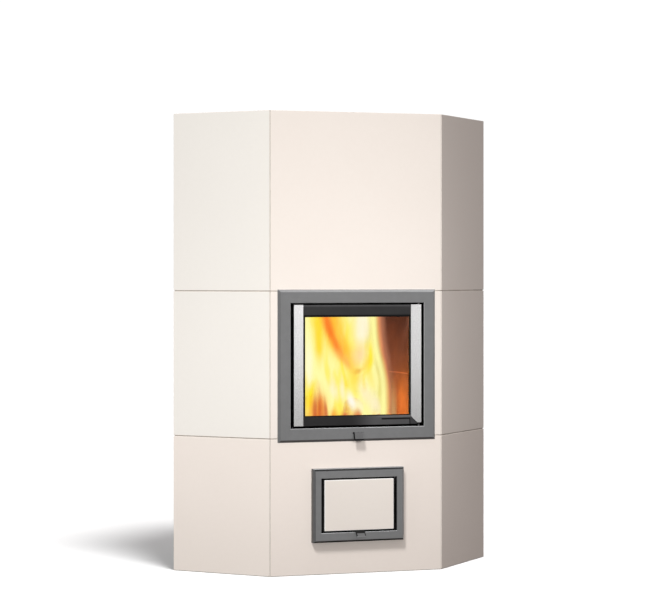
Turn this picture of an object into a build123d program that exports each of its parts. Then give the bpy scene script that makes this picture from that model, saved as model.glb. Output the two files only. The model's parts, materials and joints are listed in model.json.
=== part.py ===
from build123d import *
import os
from math import sqrt, tan, radians

# Corner stove clad in large smooth tiles. Millimetres, +Z up, front towards -Y.
# All shapes are laid out with the front tile face at y = 0 and are moved by
# SHIFT_Y when they are written, so that the origin is the bottom centre of the box.

# ---------------------------------------------------------------- driving sizes
HEIGHT = 1500.0            # floor to the top edge of the tiles
FRONT_W = 590.0            # width of the flat front
SIDE_W = 360.0             # width of each slanted tiled side, at 45 degrees
REAR_W = 240.0             # width across the cut rear corner
TILE_T = 40.0              # tile thickness
PANEL_T = 30.0             # rear panel thickness
COURSE_1 = 442.4           # height of the lower course joint
COURSE_2 = 918.0           # height of the upper course joint
JOINT = 2.5                # course joint
CORNER_GAP = 1.0           # half of the joint at a vertical corner
JOINT_SET = 3.0            # how far the joint strips sit behind the tile face

CORE_Y = 60.0              # front of the core
CORE_X = 260.0             # half width of the core
FIRE_X = 200.0             # half width inside the firebox
FIRE_BACK = 400.0          # back wall of the firebox
CORE_BACK = 460.0
BASE_TOP = 150.0
SLAB_Z0, SLAB_Z1 = 440.0, 488.0
THROAT_Z0, THROAT_Z1 = 908.0, 948.0
COVER_Z0, COVER_Z1 = 1400.0, 1440.0
FLUE_Y = 270.0
FLUE_R = 75.0              # bore of the flue collar
FLUE_RO = 80.0
FLUE_TOP = 1496.0

# fire door frame: outer size, inner opening, sleeve, landing
FF_X, FF_Z0, FF_Z1 = 270.0, 430.0, 923.0
FF_PROUD = 12.0
FF_BEVEL = 8.0
FO_X, FO_Z0, FO_Z1 = 229.0, 475.0, 879.5
SL_X, SL_Z0, SL_Z1, SL_T = 240.0, 446.0, 906.0, 6.0
LAND_Y0, LAND_Y1 = 8.0, 14.0
LAND_X, LAND_Z0, LAND_Z1 = 194.0, 495.0, 861.0

# fire door leaf
LEAF_X, LEAF_Z0, LEAF_Z1 = 206.0, 482.5, 873.5
LEAF_Y0, LEAF_Y1 = -8.0, 0.0
WIN_X, WIN_Z0, WIN_Z1 = 181.0, 514.5, 834.5
GLASS_X, GLASS_Z0, GLASS_Z1, GLASS_T = 187.0, 506.5, 841.5, 4.0
STRIP_OUT, STRIP_IN = 218.6, 187.0
TRIM_IN = 184.0
FIRE_HX, FIRE_HY = 213.0, -4.2      # hinge line of the fire door
FIRE_PIN_R, FIRE_BORE_R, FIRE_LUG_R = 3.0, 3.06, 5.0

# air control
SLOT_X, SLOT_Z0, SLOT_Z1 = 19.0, 454.8, 459.6
STEM_X, STEM_Z0, STEM_Z1 = 6.0, 455.3, 459.0
TAB_X = 16.0

# ash door
AF_X, AF_Z0, AF_Z1 = 155.5, 105.5, 344.0
AF_PROUD = 26.0
AO_X, AO_Z0, AO_Z1 = 129.0, 137.0, 313.0
AS_X, AS_Z0, AS_Z1, AS_T = 117.0, 151.0, 303.0, 5.0
AL_X, AL_Z0, AL_Z1 = 124.5, 140.0, 310.0
INLAY_X, INLAY_Z0, INLAY_Z1 = 118.5, 142.6, 307.5
ASH_HX, ASH_HY = 122.6, -23.0
ASH_PIN_R, ASH_BORE_R, ASH_LUG_R = 1.8, 1.86, 3.2

# the row's origin is at the bottom centre of the box
FRONT_MOST = -47.0
R2 = sqrt(2.0)
CX = FRONT_W / 2 + SIDE_W / R2          # half width at the widest point
CY = SIDE_W / R2
DEPTH = CY + (CX - REAR_W / 2)
SHIFT_Y = -(FRONT_MOST + DEPTH) / 2
MIT = tan(radians(22.5))

os.makedirs("parts", exist_ok=True)


# ---------------------------------------------------------------- helpers
def blk(x0, x1, y0, y1, z0, z1):
    x0, x1 = min(x0, x1), max(x0, x1)
    y0, y1 = min(y0, y1), max(y0, y1)
    z0, z1 = min(z0, z1), max(z0, z1)
    return Pos((x0 + x1) / 2, (y0 + y1) / 2, (z0 + z1) / 2) * Box(x1 - x0, y1 - y0, z1 - z0)


def cyl(x, y, z0, z1, r):
    return Pos(x, y, (z0 + z1) / 2) * Cylinder(r, z1 - z0)


def prism(pts, z0, z1):
    face = Face(Wire.make_polygon([Vector(x, y, z0) for x, y in pts], close=True))
    return Solid.extrude(face, Vector(0, 0, z1 - z0))


def bar_x(pts, x0, x1):
    # profile in Y and Z, run along X
    face = Face(Wire.make_polygon([Vector(x0, y, z) for y, z in pts], close=True))
    return Solid.extrude(face, Vector(x1 - x0, 0, 0))


def plate_xz(pts, y0, y1):
    # outline in X and Z, thickness along Y
    face = Face(Wire.make_polygon([Vector(x, y0, z) for x, z in pts], close=True))
    return Solid.extrude(face, Vector(0, y1 - y0, 0))


def ring(x, z0, z1, xi, zi0, zi1, y0, y1):
    return blk(-x, x, y0, y1, z0, z1) - blk(-xi, xi, y0 - 1, y1 + 1, zi0, zi1)


def mirror_pts(pts):
    return [(-x, y) for x, y in reversed(pts)]


def hexa(dt, dw):
    # plan outline set in by dt from the tiled faces and by dw from the wall faces
    a = FRONT_W / 2 - dt * R2            # x - y = a on the slanted side
    b = CX + CY - dw * R2                # x + y = b on the wall side
    yr = DEPTH - dw
    right = [(a + dt, dt), ((a + b) / 2, (b - a) / 2), (b - yr, yr)]
    return right + [(-x, y) for x, y in reversed(right)]


def save(name, *solids):
    parts = []
    for s in solids:
        got = list(s.solids())
        parts.extend(got)
    shape = parts[0] if len(parts) == 1 else Compound(parts)
    export_step(Pos(0, SHIFT_Y, 0) * shape, os.path.join("parts", name + ".step"))


# ---------------------------------------------------------------- plan outlines
G = CORNER_GAP
front_tile = [(-FRONT_W / 2 + G, 0), (FRONT_W / 2 - G, 0),
              (FRONT_W / 2 - TILE_T * MIT - G, TILE_T), (-FRONT_W / 2 + TILE_T * MIT + G, TILE_T)]
side_r = [(FRONT_W / 2 + G / R2, G / R2), (CX, CY), (CX - TILE_T / R2, CY + TILE_T / R2),
          (FRONT_W / 2 - TILE_T * MIT + G / R2, TILE_T + G / R2)]
side_l = mirror_pts(side_r)

Z1A, Z1B = COURSE_1 - JOINT / 2, COURSE_1 + JOINT / 2
Z2A, Z2B = COURSE_2 - JOINT / 2, COURSE_2 + JOINT / 2

# ---------------------------------------------------------------- tile shell
low_front = prism(front_tile, 0, Z1A) - blk(-AS_X - 2, AS_X + 2, -1, TILE_T + 1, AS_Z0 - 2, AS_Z1 + 2)
save("tile_lower_front", low_front)
save("tile_lower_left", prism(side_l, 0, Z1A))
save("tile_lower_right", prism(side_r, 0, Z1A))

jamb_r = [(SL_X + 2, 0), (FRONT_W / 2 - G, 0), (FRONT_W / 2 - TILE_T * MIT - G, TILE_T), (SL_X + 2, TILE_T)]
save("tile_jamb_right", prism(jamb_r, Z1B, Z2A))
save("tile_jamb_left", prism(mirror_pts(jamb_r), Z1B, Z2A))
save("tile_middle_left", prism(side_l, Z1B, Z2A))
save("tile_middle_right", prism(side_r, Z1B, Z2A))

save("tile_upper_front", prism(front_tile, Z2B, HEIGHT))
save("tile_upper_left", prism(side_l, Z2B, HEIGHT))
save("tile_upper_right", prism(side_r, Z2B, HEIGHT))

# joint strips, set back from the face
js, je = JOINT_SET, TILE_T - 3.0
front_strip = [(-FRONT_W / 2 + js * MIT + G, js), (FRONT_W / 2 - js * MIT - G, js),
               (FRONT_W / 2 - je * MIT - G, je), (-FRONT_W / 2 + je * MIT + G, je)]


def on_side(along, depth):
    # point on the right slanted side: distance along it from the front corner, and depth behind its face
    return (FRONT_W / 2 + along / R2 - depth / R2, along / R2 + depth / R2)


strip_r = [on_side(js * MIT + G, js), on_side(SIDE_W - js, js), on_side(SIDE_W - js, je), on_side(je * MIT + G, je)]
strips = []
for z0, z1 in ((Z1A, Z1B), (Z2A, Z2B)):
    strips += [prism(front_strip, z0, z1), prism(strip_r, z0, z1), prism(mirror_pts(strip_r), z0, z1)]
mx, my = -0.38268, 0.92388             # direction of the mitre, inwards from the front corner
nx, ny = 0.92388, 0.38268
corner_r = []
for t, w in ((js + 1, -0.9), (js + 1, 0.9), (je, 0.9), (je, -0.9)):
    corner_r.append((FRONT_W / 2 + mx * t + nx * w, my * t + ny * w))
for z0, z1 in ((0, Z1A), (Z1B, Z2A), (Z2B, HEIGHT)):
    strips += [prism(corner_r, z0, z1), prism(mirror_pts(corner_r), z0, z1)]
save("tile_joints", *strips)

# ---------------------------------------------------------------- rear panels and top
p = PANEL_T
u = 1 / R2
wall_r = [(CX - (TILE_T + 1) * u, CY + (TILE_T + 1) * u), (REAR_W / 2 + u, DEPTH - u),
          (REAR_W / 2 - p * MIT + u, DEPTH - p - u),
          (CX - (TILE_T + 1) * u - p * u, CY + (TILE_T + 1) * u - p * u)]
save("rear_panel_right", prism(wall_r, 0, HEIGHT - 2.5))
save("rear_panel_left", prism(mirror_pts(wall_r), 0, HEIGHT - 2.5))
rear_c = [(-REAR_W / 2 + 1, DEPTH), (REAR_W / 2 - 1, DEPTH),
          (REAR_W / 2 - p * MIT - 1, DEPTH - p), (-REAR_W / 2 + p * MIT + 1, DEPTH - p)]
save("rear_panel_centre", prism(rear_c, 0, HEIGHT - 2.5))

save("core_cover", prism(hexa(60, 50), COVER_Z0, COVER_Z1) - cyl(0, FLUE_Y, COVER_Z0 - 1, COVER_Z1 + 1, FLUE_R - 5))
save("cover_insulation", prism(hexa(45, 35), COVER_Z1, COVER_Z1 + 20)
     - cyl(0, FLUE_Y, COVER_Z1 - 1, COVER_Z1 + 21, 113))
save("top_cover", prism(hexa(43, 33), COVER_Z1 + 20, COVER_Z1 + 50)
     - cyl(0, FLUE_Y, COVER_Z1 + 19, COVER_Z1 + 51, FLUE_RO + 4))
collar = cyl(0, FLUE_Y, COVER_Z1, FLUE_TOP, FLUE_RO) + cyl(0, FLUE_Y, COVER_Z1, COVER_Z1 + 6, 110)
save("flue_collar", collar - cyl(0, FLUE_Y, COVER_Z1 - 1, FLUE_TOP + 1, FLUE_R))


# steel ties from the backs of the tiles to the core
def side_tie(x_tile, x_core, z, sgn):
    x0 = x_tile
    y0 = x_tile - (FRONT_W / 2 - TILE_T * R2)
    x1, y1 = x_core, y0 + (x_tile - x_core)
    h = 1.5 / R2
    pts = [(x0 - h, y0 - h), (x0 + h, y0 + h), (x1, y1 + 2 * h), (x1, y1)]
    if sgn < 0:
        pts = mirror_pts(pts)
    return prism(pts, z - 12, z + 12)


ties = []
for sgn in (1, -1):
    ties.append(side_tie(330, 190, 300, sgn))
    ties.append(side_tie(400, CORE_X, 700, sgn))
    ties.append(side_tie(400, CORE_X, 1000, sgn))
    ties.append(side_tie(400, CORE_X, 1340, sgn))
    for z in (1000, 1340):
        ties.append(blk(sgn * 150, sgn * 174, TILE_T, CORE_Y, z, z + 3))
    ties.append(blk(sgn * 150, sgn * 174, TILE_T, CORE_Y, 400, 403))
save("tile_ties", *ties)

# ---------------------------------------------------------------- core
save("base_slab", prism(hexa(43, 33), 0, BASE_TOP))
save("ash_wall_left", blk(-190, -125, CORE_Y, 440, BASE_TOP, SLAB_Z0))
save("ash_wall_right", blk(125, 190, CORE_Y, 440, BASE_TOP, SLAB_Z0))
save("ash_wall_rear", blk(-125, 125, 380, 440, BASE_TOP, SLAB_Z0))
save("ash_lintel", blk(-125, 125, CORE_Y, 120, AS_Z1 + 3, SLAB_Z0))

slab = blk(-CORE_X, CORE_X, CORE_Y, CORE_BACK, SLAB_Z0, SLAB_Z1)
slab = slab - blk(-90, 90, 170, 310, SLAB_Z0 - 1, SLAB_Z1 + 1) - blk(-101, 101, 159, 321, SLAB_Z1 - 22, SLAB_Z1 + 1)
save("hearth_slab", slab)

COURSES = ((SLAB_Z1, 644.0), (644.0, 834.0), (834.0, THROAT_Z0))
SCREW_X, SCREW_ZS = 214.0, (530.0, 840.0)


def side_bricks(sgn):
    out = []
    for z0, z1 in COURSES:
        b = blk(sgn * FIRE_X, sgn * CORE_X, CORE_Y, CORE_BACK, z0, z1)
        for zs in SCREW_ZS:
            if z0 < zs < z1:
                b = b - Pos(sgn * SCREW_X, CORE_Y + 15, zs) * Rot(90, 0, 0) * Cylinder(3.5, 30.02)
        out.append(b)
    return out


save("firebrick_left", *side_bricks(-1))
save("firebrick_right", *side_bricks(1))
save("firebrick_rear", *[blk(-FIRE_X, FIRE_X, FIRE_BACK, CORE_BACK, z0, z1) for z0, z1 in COURSES])
save("throat_slab", blk(-CORE_X, CORE_X, CORE_Y, CORE_BACK, THROAT_Z0, THROAT_Z1)
     - blk(-FIRE_X, FIRE_X, 340, FIRE_BACK, THROAT_Z0 - 1, THROAT_Z1 + 1))
save("upper_wall_left", blk(-CORE_X, -FIRE_X, CORE_Y, CORE_BACK, THROAT_Z1, COVER_Z0))
save("upper_wall_right", blk(FIRE_X, CORE_X, CORE_Y, CORE_BACK, THROAT_Z1, COVER_Z0))
save("upper_wall_front", blk(-FIRE_X, FIRE_X, CORE_Y, 120, THROAT_Z1, COVER_Z0))
save("upper_wall_rear", blk(-FIRE_X, FIRE_X, FIRE_BACK, CORE_BACK, THROAT_Z1, COVER_Z0))
save("upper_baffle", blk(-FIRE_X, FIRE_X, 190, FIRE_BACK, 1150, 1190))

# ---------------------------------------------------------------- grate and ash box
grate = blk(-100, 100, 160, 320, SLAB_Z1 - 21.8, SLAB_Z1 - 2)
for i in range(9):
    x = -72 + 18 * i
    grate = grate - blk(x - 4, x + 4, 178, 302, SLAB_Z1 - 40, SLAB_Z1 + 1)
grate = grate - blk(-84, 84, 172, 308, SLAB_Z1 - 40, SLAB_Z1 - 14)
ribs = blk(-84, 84, 236, 244, SLAB_Z1 - 21.8, SLAB_Z1 - 14)
grate = grate + ribs
save("grate", grate)

BX, BY0, BY1, BZ0, BZ1 = 100.0, 66.0, 372.0, 157.0, 277.0
ash_box = blk(-BX, BX, BY0, BY1, BZ0, BZ1) - blk(-BX + 2, BX - 2, BY0 + 2, BY1 - 2, BZ0 + 2, BZ1 + 1)
save("ash_box", ash_box)
handle = blk(-45, 45, 43, 47, 212, 226)
handle = handle + blk(-45, -41, 43, BY0, 212, 226) + blk(41, 45, 43, BY0, 212, 226)
save("ash_box_handle", handle)
save("ash_box_runners", blk(-92, -68, 64, 376, BASE_TOP, BZ0 - 0.3), blk(68, 92, 64, 376, BASE_TOP, BZ0 - 0.3))

# ---------------------------------------------------------------- fire door frame
flange = blk(-FF_X, FF_X, -FF_PROUD, 0, FF_Z0, FF_Z1)
edges = flange.edges().filter_by_position(Axis.Y, -FF_PROUD - 0.1, -FF_PROUD + 0.1)
flange = chamfer(edges, FF_BEVEL)
flange = flange - blk(-FO_X, FO_X, -20, 1, FO_Z0, FO_Z1)
inner = flange.edges().filter_by_position(Axis.Y, -FF_PROUD - 0.1, -FF_PROUD + 0.1)
inner = inner.filter_by(lambda e: abs(e.center().X) < FO_X + 0.5 and FO_Z0 - 0.5 < e.center().Z < FO_Z1 + 0.5)
flange = chamfer(inner, 1.6)
sleeve = ring(SL_X, SL_Z0, SL_Z1, SL_X - SL_T, SL_Z0 + SL_T, SL_Z1 - SL_T, 0, CORE_Y)
# the flange covers the sleeve and reaches in to the door opening
frame = flange + sleeve
air_slot = blk(-SLOT_X, SLOT_X, -20, LAND_Y1 + 1, SLOT_Z0, SLOT_Z1)
frame = frame - air_slot
for z0, z1 in ((FO_Z1 - 1, 893.0), (462.0, FO_Z0 + 1)):
    frame = frame - cyl(FIRE_HX, FIRE_HY, z0, z1, FIRE_PIN_R + 0.02)
AIR = [-120 + 48 * i for i in range(6)]
for x in AIR:
    frame = frame - blk(x - 12, x + 12, 22, 44, SL_Z0 - 1, SL_Z0 + SL_T + 1)
# the landing that the rope seal closes on: four strips welded inside the sleeve
li, lz0, lz1 = SL_X - SL_T, SL_Z0 + SL_T, SL_Z1 - SL_T
landing = [blk(-li, li, LAND_Y0, LAND_Y1, LAND_Z1, lz1), blk(-li, li, LAND_Y0, LAND_Y1, lz0, LAND_Z0) - air_slot]
for sx in (-1, 1):
    side = blk(sx * LAND_X, sx * li, LAND_Y0, LAND_Y1, LAND_Z0, LAND_Z1)
    for zs in SCREW_ZS:
        side = side - Pos(sx * SCREW_X, 11, zs) * Rot(90, 0, 0) * Cylinder(3.3, 20)
    landing.append(side)
save("fire_frame", frame, *landing)

screws = []
for sx in (-1, 1):
    for zs in SCREW_ZS:
        head = Pos(sx * SCREW_X, 6, zs) * Rot(90, 0, 0) * Cylinder(4.5, 4)
        shank = Pos(sx * SCREW_X, 46.5, zs) * Rot(90, 0, 0) * Cylinder(3.0, 77)
        socket = Pos(sx * SCREW_X, 4.6, zs) * Rot(90, 0, 0) * Cylinder(2.0, 2.4)
        screws.append(head + shank - socket)
save("frame_screws", *screws)

save("fire_hinge_pins", cyl(FIRE_HX, FIRE_HY, 857, 893, FIRE_PIN_R), cyl(FIRE_HX, FIRE_HY, 462, 499, FIRE_PIN_R))

# spring roller of the catch, on a bracket inside the left of the sleeve
rx, ry = -199.7, 24.0
bracket = blk(-SL_X + SL_T, -196, 17, 31, 664, 667) + blk(-SL_X + SL_T, -196, 17, 31, 689, 692)
bracket = bracket + blk(-SL_X + SL_T, -SL_X + SL_T + 3, 17, 31, 664, 692)
roller = cyl(rx, ry, 667.4, 688.6, 6.5) - cyl(rx, ry, 660, 700, 2.06)
axle = cyl(rx, ry, 664, 692, 2.0)
bracket = bracket - cyl(rx, ry, 660, 700, 2.0)
save("fire_catch_roller", bracket, roller, axle)

# ---------------------------------------------------------------- air control
shutter = blk(-160, 160, 16, 50, SL_Z0 + SL_T + 0.3, STEM_Z0)
for x in AIR:
    shutter = shutter - blk(x, x + 24, 22, 44, SL_Z0, STEM_Z0 + 5)
save("air_shutter", shutter)
stem = blk(-STEM_X, STEM_X, -16, 21.5, STEM_Z0, STEM_Z1)
tab = bar_x([(-12.8, 459.0), (-16.0, 459.6), (-23.4, 438.2), (-24.0, 433.0), (-21.0, 433.0), (-20.2, 436.8),
             (-14.2, 455.0), (-12.8, 455.0)], -TAB_X, TAB_X)
save("air_lever", stem + tab)

# ---------------------------------------------------------------- fire door leaf
leaf = ring(LEAF_X, LEAF_Z0, LEAF_Z1, WIN_X, WIN_Z0, WIN_Z1, LEAF_Y0, LEAF_Y1)
for z0, z1 in ((850.0, LEAF_Z1), (LEAF_Z0, 506.0)):
    leaf = leaf + blk(LEAF_X - 2, FIRE_HX, LEAF_Y0, LEAF_Y1, z0, z1) + cyl(FIRE_HX, FIRE_HY, z0, z1, FIRE_LUG_R)
leaf = leaf - cyl(FIRE_HX, FIRE_HY, 400, 900, FIRE_BORE_R)
save("fire_leaf", leaf)

save("fire_glass", blk(-GLASS_X, GLASS_X, LEAF_Y1, LEAF_Y1 + GLASS_T, GLASS_Z0, GLASS_Z1))


def clamp(x, z, dx, dz):
    # a small stepped clamp: pad over the glass edge, foot on the leaf beside it
    if dx:
        pad = blk(x - 3.6 * dx, x + 3.2 * dx, LEAF_Y1 + GLASS_T, LEAF_Y1 + GLASS_T + 2, z - 12, z + 12)
        foot = blk(x + 0.4 * dx, x + 3.2 * dx, LEAF_Y1, LEAF_Y1 + GLASS_T, z - 12, z + 12)
    else:
        pad = blk(x - 14, x + 14, LEAF_Y1 + GLASS_T, LEAF_Y1 + GLASS_T + 2, z - 6 * dz, z + 9 * dz)
        foot = blk(x - 14, x + 14, LEAF_Y1, LEAF_Y1 + GLASS_T, z + 0.4 * dz, z + 9 * dz)
    return pad + foot


clamps = [clamp(sx * GLASS_X, z, sx, 0) for sx in (-1, 1) for z in (600, 770)]
clamps += [clamp(x, z, 0, s) for x in (-110, 110) for z, s in ((GLASS_Z0, -1), (GLASS_Z1, 1))]
save("glass_clamps", *clamps)

save("fire_gasket", ring(205, 483.5, 872.5, 196, 492.5, 863.5, LEAF_Y1, LAND_Y0 - 0.3))

hs = [(-STRIP_OUT, -14.0), (-STRIP_IN, -14.0), (-STRIP_IN, LEAF_Y0), (-201.0, LEAF_Y0), (-203.5, -11.2),
      (-STRIP_OUT, -11.4)]
save("fire_handle_strip", prism(hs, 482.7, 873.7))

ts = [(STRIP_OUT, -14.0), (STRIP_OUT, -12.0), (196.0, LEAF_Y0), (TRIM_IN, LEAF_Y0), (TRIM_IN, -9.5)]
trim = prism(ts, 480.0, 873.7)
cut = plate_xz([(TRIM_IN - 5, 470.0), (TRIM_IN - 5, 512.4), (205.5, 486.9), (STRIP_OUT + 5, 486.9),
                (STRIP_OUT + 5, 470.0)], -30, 10)
save("fire_trim_strip", trim - cut)

band_t = bar_x([(-12.0, 872.7), (-9.2, 840.5), (LEAF_Y0, 840.5), (LEAF_Y0, 872.7)], -STRIP_IN + 0.5, TRIM_IN - 0.5)
save("fire_band_top", band_t)
band_b = bar_x([(-12.4, 482.6), (LEAF_Y0, 482.6), (LEAF_Y0, 511.5), (-9.2, 511.5)], -STRIP_IN + 0.5, 218.0)
band_b = band_b - plate_xz([(TRIM_IN - 0.5, 520.0), (TRIM_IN - 0.5, 506.2), (204.6, 485.9), (206.0, 470.0),
                            (225.0, 470.0), (225.0, 520.0)], -30, 10)
band_b = band_b - blk(200, 225, -9.7, 0, 470, 520)
# groove along the right part of the band, turned down before the mitre
band_b = band_b - blk(82.0, 181.4, -20, -8.9, 498.6, 503.4) - blk(178.2, 181.4, -20, -8.9, 475, 500)
save("fire_band_bottom", band_b)

save("fire_catch_tongue", blk(-191, -187.5, LEAF_Y1, 27, 668, 688) + blk(-191, -187.5, LEAF_Y1, 3, 656, 700))

# ---------------------------------------------------------------- ash door frame
aflange = blk(-AF_X, AF_X, -AF_PROUD, 0, AF_Z0, AF_Z1)
edges = aflange.edges().filter_by_position(Axis.Y, -AF_PROUD - 0.1, -AF_PROUD + 0.1)
aflange = chamfer(edges, 7.0)
aflange = aflange - blk(-AO_X, AO_X, -40, 1, AO_Z0, AO_Z1)
inner = aflange.edges().filter_by_position(Axis.Y, -AF_PROUD - 0.1, -AF_PROUD + 0.1)
inner = inner.filter_by(lambda e: abs(e.center().X) < AO_X + 0.5 and AO_Z0 - 0.5 < e.center().Z < AO_Z1 + 0.5)
aflange = chamfer(inner, 1.2)
for z0, z1 in ((AO_Z1 - 1, 321.0), (129.0, AO_Z0 + 1)):
    aflange = aflange - cyl(ASH_HX, ASH_HY, z0, z1, ASH_PIN_R + 0.02)
# landing and sleeve are plates welded inside the flange
ai, az0, az1 = AS_X - AS_T, AS_Z0 + AS_T, AS_Z1 - AS_T
plates = []
for x0, x1, z0, z1 in ((-AO_X, AO_X, az1, AO_Z1), (-AO_X, AO_X, AO_Z0, az0), (-AO_X, -ai, az0, az1), (ai, AO_X, az0, az1)):
    plates.append(blk(x0, x1, -4, 0, z0, z1))
for x0, x1, z0, z1 in ((-AS_X, AS_X, az1, AS_Z1), (-AS_X, AS_X, AS_Z0, az0), (-AS_X, -ai, az0, az1), (ai, AS_X, az0, az1)):
    plates.append(blk(x0, x1, 0, CORE_Y, z0, z1))
save("ash_frame", aflange, *plates)
save("ash_hinge_pins", cyl(ASH_HX, ASH_HY, 300, 321, ASH_PIN_R), cyl(ASH_HX, ASH_HY, 129, 150, ASH_PIN_R))

# flat spring that holds the ash door, on the left wall of the sleeve
sp = [(-112.0, 14.0), (-112.0, 52.0), (-110.8, 52.0), (-110.8, 30.0), (-108.2, 20.0), (-110.8, 12.0), (-112.0, 12.0)]
save("ash_catch_spring", prism(sp, 216, 238))

# ---------------------------------------------------------------- ash door leaf
aleaf = blk(-AL_X, AL_X, -22, -10, AL_Z0, AL_Z1) - blk(-119, 119, -30, -16, 142.3, 307.8)
for z0, z1 in ((290.0, AL_Z1), (AL_Z0, 160.0)):
    aleaf = aleaf + cyl(ASH_HX, ASH_HY, z0, z1, ASH_LUG_R)
aleaf = aleaf - cyl(ASH_HX, ASH_HY, 120, 330, ASH_BORE_R)
aleaf = aleaf + blk(-107.4, -105.4, -10, 25, 219, 235)
save("ash_leaf", aleaf)
save("ash_inlay", blk(-INLAY_X, INLAY_X, -26, -16, INLAY_Z0, INLAY_Z1))
save("ash_gasket", ring(122, 143, 307, 114, 154, 300, -10, -4.3))
pull = bar_x([(-22.0, 142.2), (-31.4, 142.2), (-47.0, 125.6), (-46.4, 121.6), (-43.6, 121.6), (-43.4, 124.8),
              (-30.2, 139.2), (-22.0, 139.2)], -TAB_X, TAB_X)
pull = pull - blk(-TAB_X - 1, TAB_X + 1, -22, 0, 130, 150)
save("ash_pull", pull)
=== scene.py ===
import json
import math
import random

import bmesh
import bpy
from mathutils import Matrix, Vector, noise as mnoise

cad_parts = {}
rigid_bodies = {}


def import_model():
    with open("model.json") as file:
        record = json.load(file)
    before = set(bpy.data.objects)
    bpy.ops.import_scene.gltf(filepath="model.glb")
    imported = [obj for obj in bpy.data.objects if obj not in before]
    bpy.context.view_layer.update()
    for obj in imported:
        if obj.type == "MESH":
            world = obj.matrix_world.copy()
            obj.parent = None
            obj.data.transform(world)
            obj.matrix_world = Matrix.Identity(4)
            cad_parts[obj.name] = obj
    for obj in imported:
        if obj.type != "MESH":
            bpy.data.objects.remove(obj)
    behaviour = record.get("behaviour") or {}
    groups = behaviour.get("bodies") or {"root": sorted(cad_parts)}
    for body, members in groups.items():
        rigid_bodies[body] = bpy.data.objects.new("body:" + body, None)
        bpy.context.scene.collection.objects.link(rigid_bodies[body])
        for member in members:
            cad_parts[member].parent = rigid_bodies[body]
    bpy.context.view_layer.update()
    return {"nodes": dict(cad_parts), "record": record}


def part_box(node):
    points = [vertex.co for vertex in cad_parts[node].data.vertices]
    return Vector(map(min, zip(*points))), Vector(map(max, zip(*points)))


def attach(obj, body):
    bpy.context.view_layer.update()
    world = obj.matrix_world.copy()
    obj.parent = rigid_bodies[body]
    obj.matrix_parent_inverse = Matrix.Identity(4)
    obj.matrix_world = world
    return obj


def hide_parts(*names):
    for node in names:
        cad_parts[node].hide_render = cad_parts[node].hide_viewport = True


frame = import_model()
NODES = frame["nodes"]
YF = -0.318558            # where the front tile face is


def P(x, y, z):
    # millimetres, measured from the front tile face
    return Vector((x / 1000.0, y / 1000.0 + YF, z / 1000.0))


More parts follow.
